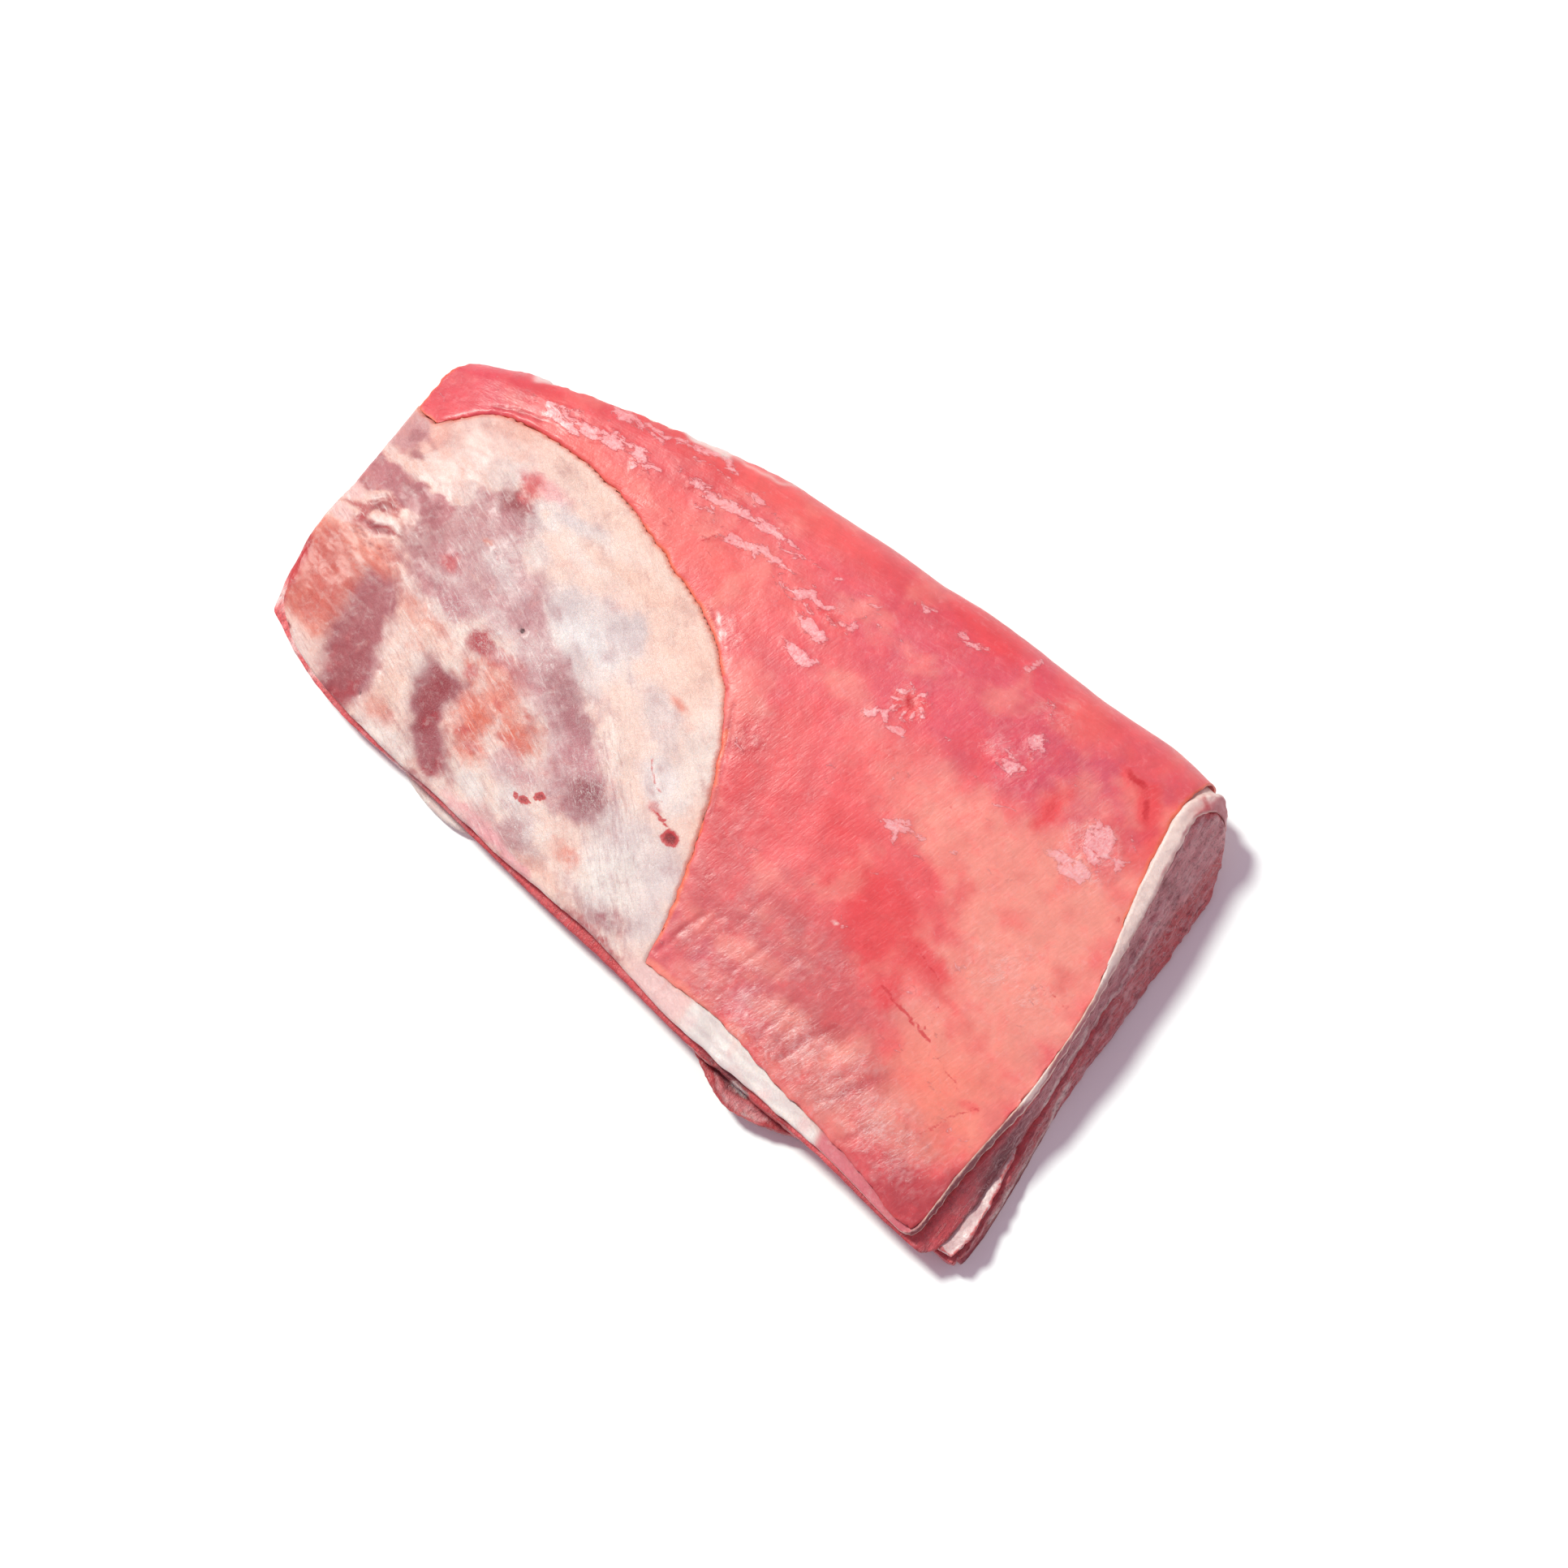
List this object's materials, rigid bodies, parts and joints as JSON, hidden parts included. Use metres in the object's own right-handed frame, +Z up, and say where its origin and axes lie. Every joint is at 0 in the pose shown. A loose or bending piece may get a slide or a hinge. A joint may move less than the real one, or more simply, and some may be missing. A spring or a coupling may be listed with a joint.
{
  "type": "raw lamb breast flap",
  "caption": "Raw boneless sheet of lamb breast and flank, folded once lengthwise with its skin muscle and fat outside, lying on its lower half.",
  "frame": {"origin": "middle of the base, on the surface that the flap lies on", "axes": "+X along the length from the narrow rib end to the wide flank end, +Y from the open front edges to the fold, +Z up"},
  "size_m": [0.3024, 0.1726, 0.0338],
  "materials": {
    "skin_muscle": "moist thin red muscle under a clear membrane",
    "fat_cap": "moist cream fat and membrane, with mauve lean showing through in places",
    "lean_meat": "moist cut raw lean, mauve red",
    "inner_fat": "moist white fat"
  },
  "bodies": {
    "root": {"skin_muscle": "skin_muscle", "fat_cap": "fat_cap", "lean_meat": "lean_meat", "inner_fat": "inner_fat"}
  },
  "joints": []
}
